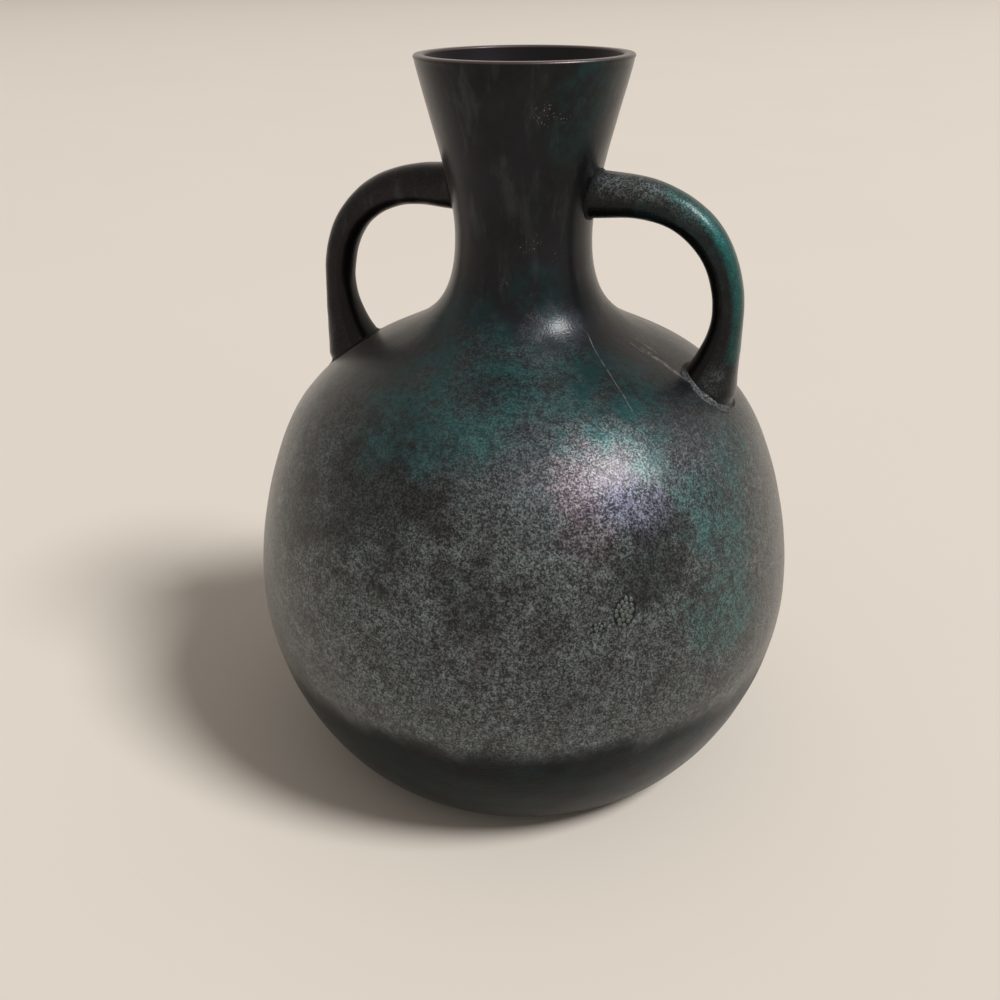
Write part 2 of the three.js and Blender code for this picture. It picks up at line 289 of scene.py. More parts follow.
class Graph:
    """A material's node tree, with one small method that adds a node, sets it and links it."""

    def __init__(self, name: str) -> None:
        """Start an empty material with its output and its surface shader."""
        self.material = bpy.data.materials.new(name)
        self.material.use_nodes = True
        self.tree = self.material.node_tree
        self.tree.nodes.clear()
        self.surface = self.add("ShaderNodeBsdfPrincipled", {})
        self.add("ShaderNodeOutputMaterial", {"Surface": self.surface.outputs["BSDF"]})
        coordinates = self.add("ShaderNodeTexCoord", {})
        self.place = coordinates.outputs["Object"]
        self.normal = coordinates.outputs["Normal"]
        split = self.add("ShaderNodeSeparateXYZ", {0: self.place})
        self.height = Signal(self, split.outputs["Z"])

    def add(self, kind: str, inputs: dict, **settings) -> bpy.types.Node:
        """Add a node.

        Args:
            kind: Blender's name for the kind of node.
            inputs: input's name or number to a value, or to the output or signal that feeds it.
            **settings: attributes of the node, such as operation.

        Returns:
            The node.
        """
        node = self.tree.nodes.new(kind)
        for name, value in settings.items():
            setattr(node, name, value)
        self.feed(node, inputs)
        return node

    def feed(self, node: bpy.types.Node, inputs: dict) -> None:
        """Set a node's inputs, or link them: a hex colour is set as its linear values."""
        for name, value in inputs.items():
            value = value.socket if isinstance(value, Signal) else value
            if isinstance(value, bpy.types.NodeSocket):
                self.tree.links.new(value, node.inputs[name])
            else:
                node.inputs[name].default_value = linear(value) if isinstance(value, str) else value

    def uneven(self, size_mm: float, detail: float = 3, rough: float = 0.55,
               stretch: tuple[float, float, float] = (1, 1, 1), shift: float = 0) -> Signal:
        """Random unevenness whose features are about size_mm across, as a value of 0 to 1."""
        moved = self.add("ShaderNodeMapping", {"Vector": self.place, "Location": (shift, shift, shift),
                                               "Scale": stretch})
        noise = self.add("ShaderNodeTexNoise", {"Vector": moved.outputs[0], "Scale": 1 / (size_mm * MM),
                                                "Detail": detail, "Roughness": rough})
        return Signal(self, noise.outputs["Fac"])

    def laid(self, below: Colour, above: Colour, amount: Signal | float) -> bpy.types.NodeSocket:
        """Colour below, with colour above laid over it by an amount of 0 to 1."""
        return self.add("ShaderNodeMix", {0: amount, 6: below, 7: above}, data_type="RGBA").outputs[2]

    def along(self, vector: bpy.types.NodeSocket, way: tuple | bpy.types.NodeSocket) -> Signal:
        """How far a vector reaches along a direction."""
        dot = self.add("ShaderNodeVectorMath", {0: vector, 1: way}, operation="DOT_PRODUCT")
        return Signal(self, dot.outputs["Value"])

    def near(self, centre: tuple[float, float, float], reach: float, edge: float,
             wander: Signal | None = None) -> Signal:
        """1 at a place and 0 beyond reach + edge from it, in millimetres, with a wandering edge."""
        distance = self.add("ShaderNodeVectorMath", {0: self.place, 1: tuple(c * MM for c in centre)},
                            operation="DISTANCE")
        away = Signal(self, distance.outputs["Value"])
        if wander is not None:
            away = away + (wander - 0.5) * (2.4 * reach * MM)
        return 1 - away.between((reach - edge) * MM, (reach + edge) * MM)

    def relief(self, height: Signal, depth_mm: float) -> bpy.types.NodeSocket:
        """The skin's normal where a height of 0 to 1 stands depth_mm deep."""
        return self.add("ShaderNodeBump", {"Height": height, "Distance": depth_mm * MM,
                                           "Strength": 1.0}).outputs[0]


@dataclass(frozen=True)
class Signal:
    """A number that varies over the skin, with arithmetic that adds what it needs to the graph."""

    graph: Graph
    socket: bpy.types.NodeSocket

    def _joined(self, operation: str, first: Signal | float, second: Signal | float) -> Signal:
        """The result of one operation on two values."""
        node = self.graph.add("ShaderNodeMath", {0: first, 1: second}, operation=operation)
        return Signal(self.graph, node.outputs[0])

    def __add__(self, other: Signal | float) -> Signal:
        """Sum."""
        return self._joined("ADD", self, other)

    def __sub__(self, other: Signal | float) -> Signal:
        """Difference."""
        return self._joined("SUBTRACT", self, other)

    def __rsub__(self, other: float) -> Signal:
        """Difference from a number."""
        return self._joined("SUBTRACT", other, self)

    def __mul__(self, other: Signal | float) -> Signal:
        """Product."""
        return self._joined("MULTIPLY", self, other)

    __radd__ = __add__
    __rmul__ = __mul__

    def __abs__(self) -> Signal:
        """Size without its sign."""
        return self._joined("ABSOLUTE", self, 0.0)

    def or_more(self, other: Signal | float) -> Signal:
        """The greater of two values."""
        return self._joined("MAXIMUM", self, other)

    def or_less(self, other: Signal | float) -> Signal:
        """The lesser of two values."""
        return self._joined("MINIMUM", self, other)

    def between(self, low: float, high: float) -> Signal:
        """0 where the value is below low, 1 where it is above high, and smooth between."""
        node = self.graph.add("ShaderNodeMapRange", {0: self.socket, 1: low, 2: high},
                              interpolation_type="SMOOTHSTEP")
        return Signal(self.graph, node.outputs[0])


@dataclass(frozen=True)
class Stain:
    """A patch of patina: where its middle is, how far it reaches, and how strong it is."""

    centre: tuple[float, float, float]
    reach: float
    strength: float = 1.0


def strongest(graph: Graph, stains: tuple[Stain, ...], wander: Signal | None = None,
              floor: float = 0.0, edge: float = 0.45) -> Signal | float:
    """The strongest of some stains at each place, and no less than a floor.

    Args:
        graph: the material that they are drawn in.
        stains: the patches.
        wander: unevenness that their edges follow.
        floor: the least value.
        edge: how soft their edges are, as a share of each one's reach.

    Returns:
        The value, which is the floor itself where there are no stains.
    """
    total: Signal | float = floor
    for stain in stains:
        here = graph.near(stain.centre, stain.reach, edge * stain.reach, wander)
        total = (here * stain.strength).or_more(total)
    return total


@dataclass(frozen=True)
class Scratch:
    """A fine straight scratch between two places on the skin, in millimetres."""

    start: tuple[float, float, float]
    end: tuple[float, float, float]
    width: float = 0.35
    strength: float = 0.6
    wobble: float = 1.2

    def mask(self, graph: Graph) -> Signal:
        """1 on the scratch: near the plane through its ends and the axis side, and between its ends.

        Args:
            graph: the material that it is drawn in.

        Returns:
            The mask, broken here and there.
        """
        start, end = Vector(self.start) * MM, Vector(self.end) * MM
        middle = (start + end) / 2
        outward = Vector((middle.x, middle.y, 0)).normalized()
        normal = (end - start).cross(outward).normalized()
        offset = graph.add("ShaderNodeVectorMath", {0: graph.place, 1: tuple(middle)}, operation="SUBTRACT")
        across = graph.along(offset.outputs[0], tuple(normal))
        distance = abs(across + (graph.uneven(9) - 0.5) * (self.wobble * MM))
        line = 1 - distance.between(0.3 * self.width * MM, self.width * MM)
        half = (end - start).length / 2 / MM
        reach = graph.near(tuple(c / MM for c in middle), half, 0.2 * half)
        broken = graph.uneven(2.5, shift=3.0).between(0.35, 0.6)
        return line * reach * broken * self.strength


@dataclass(frozen=True)
class BronzePatina:
    """Cast tin bronze, chemically patinated dark brown with verdigris, then waxed and buffed.

    To the eye: near-black brown, mottled sea green where the copper salts lie, and a cast skin pitted
    like fine leather, whose grain holds a pale bloom and breaks up every highlight.  The real grain is
    about 0.4 mm; it is drawn a little coarser so that it shows.
    """

    name: str = "patinated_bronze"
    brown: str = "#19151b"
    black: str = "#0c090b"
    # Dark colour of the band round the foot: partly dark patina, partly painted reflection of dark
    # surroundings and painted shade.
    foot: str = "#100f0e"
    green: str = "#123d40"
    # Verdigris laid lighter on the side that faces the lamp: partly patina, partly painted light.
    lit_side_verdigris: str = "#237a74"
    bloom: str = "#9b9fa1"
    green_bloom: str = "#719b99"
    # Pale steel blue and rose: painted highlight, tints laid round the lamp's highlight on the belly to
    # colour its fringe.
    highlight_steel_blue: str = "#8d93b4"
    highlight_rose: str = "#ad95a4"
    fleck_grey: str = "#7b7f7c"
    scratch_grey: str = "#93918f"
    worn_lip: str = "#6d5f60"
    # Dark of the hollows between blister bubbles and round the blister's rim: partly patina, partly painted
    # shade.
    hollow_shade: str = "#161717"
    bubble: str = "#585f5c"
    cloud_mm: float = 30
    mottle_mm: float = 9
    fleck_mm: float = 2
    grain_mm: float = 0.62
    streak_mm: float = 5
    dot_mm: float = 0.55
    grain_depth_mm: float = 0.16
    film_depth_mm: float = 0.09
    edge_wander_mm: float = 26
    roughness: float = 0.36
    metallic: float = 0.85
    wax: float = 0.46
    bloom_from_mm: float = 48
    bloom_to_mm: float = 128
    smooth_from_mm: float = 152
    even_bloom: float = 0.68
    even_green: float = 0.16
    green_stains: tuple[Stain, ...] = ()
    # Where the lighter verdigris lies, on the side facing the direction below, which is close to the lamp's:
    # partly painted light.
    lit_side_verdigris_stains: tuple[Stain, ...] = ()
    lamp_facing_way: tuple[float, float, float] = (0.76, -0.16, 0.63)
    dark_stains: tuple[Stain, ...] = ()
    bloom_stains: tuple[Stain, ...] = ()
    bloom_way: tuple[float, float, float] | None = None
    fleck_stains: tuple[Stain, ...] = ()
    # Where the painted highlight tints of blue and rose lie.
    highlight_blue_stains: tuple[Stain, ...] = ()
    highlight_rose_stains: tuple[Stain, ...] = ()
    scratches: tuple[Scratch, ...] = ()
    lip_height_mm: float | None = None
    crest: str | None = None

    def material(self) -> bpy.types.Material:
        """Build the material: its pattern, then the colour, gloss and relief that follow the pattern.

        Returns:
            The finished material, on Object coordinates.
        """
        graph = Graph(self.name)
        where = Pattern(graph, self)
        pitted = 1 - 0.75 * where.inside.or_more(where.neck)
        swell = graph.uneven(self.grain_mm, detail=1, shift=0.9)
        graph.feed(graph.surface, {
            "Base Color": self._colour(graph, where),
            "Roughness": (where.veil * 0.12 + where.mottle * 0.12 + (self.roughness - 0.06)
                          + where.inside * 0.22),
            "Normal": graph.relief(pitted * (where.grain + 0.7 * where.fleck), self.grain_depth_mm),
            "Coat Normal": graph.relief(pitted * swell, self.film_depth_mm),
            "Metallic": where.waxed * self.metallic,
            "Coat Weight": where.waxed * self.wax,
            "Specular IOR Level": 0.05,
            "Coat IOR": 1.4,
            "Coat Roughness": 0.25,
            "Sheen Weight": 0.22,
            "Sheen Roughness": 0.2,
            "Sheen Tint": "#f4ece6",
        })
        return graph.material

    def _colour(self, graph: Graph, where: Pattern) -> bpy.types.NodeSocket:
        """Lay the colours over each other, in the order in which they came to be.

        Args:
            graph: the material.
            where: its pattern.

        Returns:
            The skin's colour.
        """
        skin = graph.laid(self.black, self.brown, where.cloud.between(0.38, 0.62))
        skin = graph.laid(skin, self.black, where.dark * 0.75)
        skin = graph.laid(skin, self.green, where.green)
        pale = graph.laid(self.bloom, self.green_bloom, where.green)
        # Painted highlight: pale steel blue and rose laid in the bloom round the lamp's highlight.
        pale = graph.laid(graph.laid(pale, self.highlight_steel_blue, where.blue), self.highlight_rose, where.highlight_rose)
        skin = graph.laid(skin, pale, where.veil)
        skin = graph.laid(skin, self.bloom, where.haze)
        skin = graph.laid(skin, self.fleck_grey, where.dots)
        # Partly painted light: the verdigris is laid lighter on the side facing the lamp.
        skin = graph.laid(skin, self.lit_side_verdigris, where.bright)
        for scratch in self.scratches:
            skin = graph.laid(skin, self.scratch_grey, scratch.mask(graph))
        skin = graph.laid(skin, self.brown, where.inside)
        # Band round the foot, below the waxed part: painted near-black, partly dark patina, partly painted
        # reflection and painted shade.
        low = graph.laid(self.foot, self.green, where.patchy * 0.22)
        skin = graph.laid(low, skin, where.waxed)
        if self.lip_height_mm is not None:
            worn = graph.height.between((self.lip_height_mm - 0.75) * MM, (self.lip_height_mm - 0.25) * MM)
            skin = graph.laid(skin, self.worn_lip, worn * 0.5)
        # Blisters: low parts of the relief, between bubbles and round the rim, are painted dark, partly
        # patina, partly painted shade.
        if self.crest is not None:
            crest = Signal(graph, graph.add("ShaderNodeAttribute", {},
                                            attribute_name=self.crest).outputs["Fac"])
            shaded_bubbles = graph.laid(self.hollow_shade, self.bubble, crest.between(0.40, 0.80))
            skin = graph.laid(skin, shaded_bubbles, crest.between(0.01, 0.05))
        return skin


class Pattern:
    """Where each thing lies on a patinated skin: the values that its colour, gloss and relief share."""

    def __init__(self, graph: Graph, patina: BronzePatina) -> None:
        """Work out every value from four kinds of unevenness, the height and the patina's stains.

        Args:
            graph: the material.
            patina: the finish, with its sizes and stains.
        """
        self.graph, self.patina = graph, patina
        self.cloud = graph.uneven(patina.cloud_mm, detail=4, rough=0.62)
        self.mottle = graph.uneven(patina.mottle_mm, detail=5, rough=0.66, shift=1.7)
        self.fleck = graph.uneven(patina.fleck_mm, detail=3, rough=0.7, shift=4.1)
        self.grain = graph.uneven(patina.grain_mm, detail=4, rough=0.85, shift=0.9)
        self.pits = (0.75 * self.grain + 0.25 * self.fleck).between(0.45, 0.60)
        self.patchy = (self.mottle + 0.45 * self.fleck).between(0.56, 0.88)
        # waxed is 0 on the band round the foot, whose dark colour is partly patina, partly painted reflection
        # and painted shade.
        self.waxed = self._above(patina.bloom_from_mm - 2, 6, self.cloud)
        self.neck = self._above(patina.smooth_from_mm, 12, self.mottle)
        level = graph.add("ShaderNodeVectorMath", {0: graph.place, 1: (1, 1, 0)}, operation="MULTIPLY")
        from_axis = graph.add("ShaderNodeVectorMath", {0: level.outputs[0]}, operation="NORMALIZE")
        self.inside = 1 - graph.along(graph.normal, from_axis.outputs[0]).between(-0.12, -0.05)
        self.dark = strongest(graph, patina.dark_stains, self.mottle)
        # Masks of the painted highlight tints round the lamp's highlight.
        self.blue = strongest(graph, patina.highlight_blue_stains, self.mottle)
        self.highlight_rose = strongest(graph, patina.highlight_rose_stains, self.mottle)
        self.green = self._green()
        self.veil = self._veil()
        streaks = graph.uneven(patina.streak_mm, detail=4, rough=0.6, stretch=(1, 1, 0.2), shift=2.6)
        self.haze = 0.06 * streaks.between(0.52, 0.76) * self.neck
        dots = graph.uneven(patina.dot_mm, detail=1, shift=6.3).between(0.66, 0.72)
        self.dots = dots * strongest(graph, patina.fleck_stains, self.mottle)
        # Side that faces the lamp, where the verdigris is laid lighter: partly painted light.
        outer = graph.along(graph.normal, patina.lamp_facing_way).between(0.30, 0.70)
        self.bright = outer * strongest(graph, patina.lit_side_verdigris_stains, self.mottle) * (0.6 * self.pits + 0.4)

    def _above(self, height_mm: float, edge_mm: float, wander: Signal) -> Signal:
        """0 below a height and 1 above it, with an edge that wanders up and down."""
        wavy = self.graph.height + (wander - 0.5) * (self.patina.edge_wander_mm * MM)
        return wavy.between((height_mm - edge_mm) * MM, (height_mm + edge_mm) * MM)

    def _green(self) -> Signal | float:
        """Verdigris: its stains, less round the lamp's highlight, where the painted highlight tints lie, and
        up the neck, in patches.
        """
        lies = strongest(self.graph, self.patina.green_stains, self.cloud, self.patina.even_green)
        # Green is left out under the painted highlight tints.
        under_highlight = 1.6 * (self.blue + self.highlight_rose)
        if isinstance(under_highlight, Signal):
            lies = lies * (1 - under_highlight.or_less(1.0))
        return lies * (1 - 0.4 * self.neck) * (0.8 * self.patchy + 0.2)

    def _veil(self) -> Signal:
        """Pale bloom in the grain: over the belly and in its stains, clouded, less on dark patches."""
        patina = self.patina
        belly = (self._above(patina.bloom_from_mm, 5, self.mottle)
                 * (1 - self._above(patina.bloom_to_mm, 20, self.mottle)))
        # On the body, some of these stains lie on the lamp's highlight and paint it wider.
        local = strongest(self.graph, patina.bloom_stains, self.mottle)
        if patina.bloom_way is not None:
            local = local * self.graph.along(self.graph.normal, patina.bloom_way).between(0.35, 0.75)
        clouded = 0.48 * self.mottle.between(0.34, 0.66) + 0.52
        lies = (belly * patina.even_bloom).or_more(local)
        return lies * clouded * self.waxed * (1 - 0.6 * self.dark) * (0.92 * self.pits + 0.08)


@dataclass(frozen=True)
class BrazingMetal:
    """Brass brazing rod left as it ran, then patinated with the rest: near-black, with a grey bare edge."""

    name: str = "brazing_metal"
    light: str = "#64686a"
    dark: str = "#131112"
    lump_mm: float = 0.6
    lump_depth_mm: float = 0.2
    bare_places: tuple[Stain, ...] = (Stain((57, -9, 134), 9), Stain((66, -8, 128), 6))
    even_bare: float = 0.10

    def material(self) -> bpy.types.Material:
        """Build the material.

        Returns:
            The finished material, on Object coordinates.
        """
        graph = Graph(self.name)
        lumps = graph.uneven(self.lump_mm, detail=4, rough=0.7)
        bare = strongest(graph, self.bare_places, floor=self.even_bare, edge=0.4)
        graph.feed(graph.surface, {
            "Base Color": graph.laid(self.dark, self.light, bare * lumps.between(0.38, 0.62)),
            "Normal": graph.relief(lumps, self.lump_depth_mm),
            "Roughness": 0.3 * lumps + 0.40,
            "Metallic": 0.7,
            "Specular IOR Level": 0.25,
        })
        return graph.material


@dataclass
class Body:
    """The body casting: belly, shoulder, neck and lip, with its rim and the ledge inside the foot."""

    outline: Outline
    wall: float = 3
    lip_wall: float = 3.4
    lip_round: float = 0.7
    foot_round: float = 1.2
    rim_width: float = 2.6
    disc_recess: float = 2.2
    disc_thickness: float = 2.6
    seat_gap: float = 0.3
    ledge_width: float = 5
    ledge_thickness: float = 2.8
    columns: int = 300
    outside_rows: int = 210
    inside_rows: int = 70
    unevenness: float = 0.22

    @property
    def rebate_radius(self) -> float:
        """Radius of the step that the bottom disc sits in."""
        return self.outline.base_radius - self.foot_round - self.rim_width

    def profile(self) -> tuple[Array, Array]:
        """The wall's closed section.

        Returns:
            Rows of radius and height, from the rebate round the outside and back down the inside, and
            for each row 1 on the outside skin and 0 elsewhere.
        """
        shape = self.outline
        lip, foot = self.lip_round, self.foot_round
        outside = shape.points(self.outside_rows)
        outside = outside[(outside[:, 1] > foot) & (outside[:, 1] < shape.height - lip)]
        whole = shape.points(self.inside_rows)
        share = np.clip((whole[:, 1] - shape.waist_height) / (shape.height - shape.waist_height), 0, 1)
        inside = shifted(whole, self.wall + (self.lip_wall - self.wall) * share)
        ledge_under = self.disc_recess + self.disc_thickness + self.seat_gap
        ledge_top = ledge_under + self.ledge_thickness
        inside = inside[(inside[:, 1] > ledge_top) & (inside[:, 1] < shape.height - lip)][::-1]
        top = shape.height - lip
        rebate = self.rebate_radius
        ledge = rebate - self.ledge_width
        parts = [
            (np.array([[rebate, 0.0]]), 0),
            (arc((shape.base_radius - foot, foot), foot, -90, shape.base_slope - 90), 0),
            (outside, 1),
            (arc((shape.mouth_radius - lip, top), lip, 0, 90), 0),
            (arc((shape.mouth_radius - self.lip_wall + lip, top), lip, 90, 180), 0),
            (inside, 0),
            (np.array([[inside[-1, 0], ledge_top], [ledge, ledge_top],
                       [ledge, ledge_under], [rebate, ledge_under]]), 0),
        ]
        rows = np.vstack([rows for rows, _ in parts])
        skin = np.concatenate([np.full(len(rows), flag, float) for rows, flag in parts])
        return rows, skin

    def build(self) -> bpy.types.Object:
        """Turn the section about the axis, and press the cast skin's unevenness into it.

        Each point is (r cos a, r sin a, z), and the outside skin then moves inwards along its normal by
        half of unevenness times (1 + waves), so that it stays within the casting.

        Returns:
            The body as one closed mesh.
        """
        rows, skin = self.profile()
        angle = np.linspace(0, 2 * np.pi, self.columns, endpoint=False)
        along = np.gradient(rows, axis=0)
        normal = unit(np.stack([along[:, 1], -along[:, 0]], axis=1))
        points, outward = (turned(pair, angle) for pair in (rows, normal))
        depth = self.dent(points) * skin[:, None]
        return grid_mesh("bronze_body", points - outward * depth[..., None], wrap_rows=True)

    def dent(self, points: Array) -> Array:
        """How far the cast skin lies inside the true outline: half of unevenness times (1 + waves).

        Args:
            points: places on the outline, in millimetres.

        Returns:
            A depth for each place, which fades out at the foot and at the lip.
        """
        height = points[..., 2]
        swell = 0.6 * waves(points, 34, 1) + 0.4 * waves(points, 13, 2)
        ease = smoothstep(self.foot_round, 10, height) * (
            1 - smoothstep(self.outline.height - 12, self.outline.height - 2, height))
        return 0.5 * self.unevenness * (1 + swell) * ease

    def skin_at(self, angle: Array, height: Array, proud: Array) -> Array:
        """Places on the uneven skin at some angles and heights, moved outwards by proud."""
        ring = np.stack([np.cos(angle), np.sin(angle)], axis=-1)
        normal = self.outline.normal_at(height)
        place = np.concatenate([self.outline.radius_at(height)[..., None] * ring, height[..., None]], axis=-1)
        outward = np.concatenate([normal[..., :1] * ring, normal[..., 1:]], axis=-1)
        return place + outward * (proud - self.dent(place))[..., None]


def turned(pairs: Array, angle: Array) -> Array:
    """Rows of radius and height turned about the axis: (r cos a, r sin a, z) at every angle."""
    radius, height = pairs[:, :1], pairs[:, 1:]
    return np.stack([radius * np.cos(angle), radius * np.sin(angle), height + 0 * angle], axis=-1)


@dataclass(frozen=True)
class CastFlaw:
    """A blister of the casting: bubbles side by side in an oval, with seams between them painted dark, partly
    as patina and partly as painted shade.
    """

    name: str
    centre: tuple[float, float, float]
    half_wide: float
    half_high: float
    spacing: float = 1.15
    bubble_height: float = 0.34
    lean_degrees: float = 18
    rings: int = 56
    spokes: int = 120
    reach: float = 1.25

    def bubbles(self) -> Array:
        """Middles of the bubbles: a six-sided grid, each moved a little, that lies inside the oval."""
        random = np.random.default_rng(SEED + len(self.name))
        count = int(max(self.half_wide, self.half_high) / self.spacing) + 2
        row, column = np.mgrid[-count:count + 1, -count:count + 1]
        across = (column + 0.5 * (row % 2)) * self.spacing
        up = row * self.spacing * np.sqrt(0.75)
        places = np.stack([across.ravel(), up.ravel()], axis=1)
        places += random.uniform(-0.2, 0.2, places.shape) * self.spacing
        return places[np.hypot(places[:, 0] / self.half_wide, places[:, 1] / self.half_high) < 0.95]

    def build(self, body: Body) -> bpy.types.Object:
        """A thin lens over the skin, carried on polar rings out to its edge and back beneath.

        The upper face stands out by the highest of some domes, each bubble_height times
        1 - (distance / radius)^2, and sinks a little under the skin at its edge.  The share of the
        full height is kept on the mesh as the attribute crest, which starts at 0.06 on the blister.

        Args:
            body: the casting that it belongs to.

        Returns:
            The blister as one closed mesh.
        """
        share = np.linspace(0.01, 1, self.rings)
        turn = np.linspace(0, 2 * np.pi, self.spokes, endpoint=False)
        u = self.reach * self.half_wide * share[:, None] * np.cos(turn)
        v = self.reach * self.half_high * share[:, None] * np.sin(turn)
        dome = np.zeros_like(u)
        for across, up in self.bubbles():
            away = np.hypot(u - across, v - up) / (0.68 * self.spacing)
            dome = np.maximum(dome, 1 - away ** 2)
        outer = smoothstep(0.80, 1.0, share)[:, None]
        crest = np.where(share[:, None] < 0.86, 0.06 + 0.94 * dome, 0)
        proud = self.bubble_height * dome * (1 - outer) + 0.02 - 0.08 * outer
        tilt = np.radians(self.lean_degrees)
        across, up = u * np.cos(tilt) + v * np.sin(tilt), v * np.cos(tilt) - u * np.sin(tilt)
        x, y, z = self.centre
        lean = float(body.outline.normal_at(np.array(z))[0])
        angle = np.arctan2(y, x) + across / np.hypot(x, y)
        height = z + up * lean
        top = body.skin_at(angle, height, proud)
        under = body.skin_at(angle, height, np.full_like(u, -0.5))[::-1]
        piece = grid_mesh(self.name, np.vstack([top, under]), wrap_rows=False, cap_ends=True)
        kept = piece.data.attributes.new("crest", "FLOAT", "POINT")
        kept.data.foreach_set("value", np.concatenate([crest.ravel(), np.zeros(crest.size)]))
        face_outwards(piece)
        return piece


def face_outwards(piece: bpy.types.Object) -> None:
    """Flip a closed mesh whose signed volume, the sum of v0 . (v1 x v2) / 6 over its faces, is negative."""
    mesh = piece.data
    mesh.calc_loop_triangles()
    corners = np.empty(len(mesh.loop_triangles) * 3, int)
    mesh.loop_triangles.foreach_get("vertices", corners)
    places = np.empty(len(mesh.vertices) * 3)
    mesh.vertices.foreach_get("co", places)
    v0, v1, v2 = places.reshape(-1, 3)[corners.reshape(-1, 3)].transpose(1, 0, 2)
    if (v0 * np.cross(v1, v2)).sum() < 0:
        mesh.flip_normals()


@dataclass
class Handle:
    """An ear handle: an oval section carried along a centre line from the neck to the shoulder."""

    side: Side
    outline: Outline
    root_height: float = 187.6
    root_straight: float = 8
    reach: float = 62.8
    side_height: float = 155
    crown_fullness: float = 0.6
    landing_radius: float = 59
    foot_lean: float = 17
    foot_hold: float = 7
    side_thickness: float = 9.4
    side_width: float = 10.8
    root_thickness: float = 14
    root_width: float = 13.4
    root_taper: float = 60
    foot_thickness: float = 17.8
    foot_width: float = 18.8
    foot_flare: float = 24
    squareness: float = 2.3
    buried: float = 2.4
    rows: int = 170
    columns: int = 56
    line: Array = field(init=False)
    frames: Array = field(init=False)

    def __post_init__(self) -> None:
        """Work out the centre line, in the plane of X and Z, and its directions."""
        shape = self.outline
        neck = float(shape.radius_at(self.root_height))
        over = shape.points()
        over = over[over[:, 1] > shape.shoulder_height - 20]
        order = np.argsort(over[:, 0])
        below_waist = over[order][over[order][:, 1] < shape.waist_height]
        landing_z = float(np.interp(self.landing_radius, below_waist[:, 0], below_waist[:, 1]))
        landing = np.array([self.landing_radius, landing_z])
        crown = np.array([neck + self.root_straight, self.root_height])
        side = np.array([self.reach, self.side_height])
        level, down = np.array([1.0, 0.0]), np.array([0.0, -1.0])
        foot_way = direction(-90 - self.foot_lean)
        t = np.linspace(0, 1, 200)
        start = np.array([neck - self.buried, self.root_height])
        parts = [
            start + (crown - start) * t[:, None],
            cubic(crown, crown + level * self.crown_fullness * (self.reach - crown[0]),
                  side - down * self.crown_fullness * (self.root_height - self.side_height), side, t)[1:],
            cubic(side, side + down * (self.side_height - landing[1]) / 3,
                  landing - foot_way * self.foot_hold, landing, t)[1:],
            (landing + foot_way * 2 * self.buried * t[:, None])[1:],
        ]
        self.line = even(np.vstack(parts), self.rows)
        self.frames = unit(np.gradient(self.line, axis=0))

    def half_sizes(self) -> tuple[Array, Array, Array]:
        """Half the section's size along the centre line.

        Returns:
            Distance from the start, half the thickness in the loop's plane, and half the width across.
        """
        steps = np.linalg.norm(np.diff(self.line, axis=0), axis=1)
        distance = np.r_[0, np.cumsum(steps)]
        landing = distance[-1] - 2 * self.buried
        from_root = np.clip((distance - self.buried) / self.root_taper, 0, 1)
        from_foot = np.clip((landing - distance) / self.foot_flare, 0, 1)

        def sized(root: float, side: float, foot: float) -> Array:
            """Half size: the side's, plus the root's and the foot's extra, each fading as a square."""
            return (side + (root - side) * (1 - from_root) ** 2 + (foot - side) * (1 - from_foot) ** 2) / 2

        return (distance, sized(self.root_thickness, self.side_thickness, self.foot_thickness),
                sized(self.root_width, self.side_width, self.foot_width))

    def skin(self, grow: float = 0) -> Array:
        """Points of the skin: the centre line plus an oval, |x/a|^n + |y/b|^n = 1, in each cross plane.

        Args:
            grow: how far the skin is moved outwards, in millimetres.

        Returns:
            Rows x columns x 3, in millimetres, on this handle's side.
        """
        _, thick, wide = self.half_sizes()
        turn = np.linspace(0, 2 * np.pi, self.columns, endpoint=False)
        power = 2 / self.squareness
        cos, sin = np.cos(turn), np.sin(turn)
        oval_x = np.sign(cos) * np.abs(cos) ** power
        oval_y = np.sign(sin) * np.abs(sin) ** power
        across = (thick[:, None] + grow) * oval_x
        sideways = (wide[:, None] + grow) * oval_y
        x = self.line[:, 0][:, None] - self.frames[:, 1][:, None] * across
        z = self.line[:, 1][:, None] + self.frames[:, 0][:, None] * across
        points = np.stack([x, sideways, z], axis=-1)
        return points * np.array([self.side.value, self.side.value, 1])

    def build(self) -> bpy.types.Object:
        """The handle as one closed mesh, with a hand-filed unevenness of a tenth or two.

        Returns:
            The handle, whose ends run into the body's wall.
        """
        points = self.skin()
        middle = np.zeros_like(points)
        middle[..., 0] = self.line[:, 0][:, None] * self.side.value
        middle[..., 2] = self.line[:, 1][:, None]
        seed = 20 + self.side.value
        dent = 0.18 * (1 + 0.7 * waves(points, 17, seed) + 0.3 * waves(points, 6, seed + 5))
        points = points - unit(points - middle) * dent[..., None]
        return grid_mesh(f"{self.side.label}_ear_handle", points[:, ::-1], wrap_rows=False, cap_ends=True)


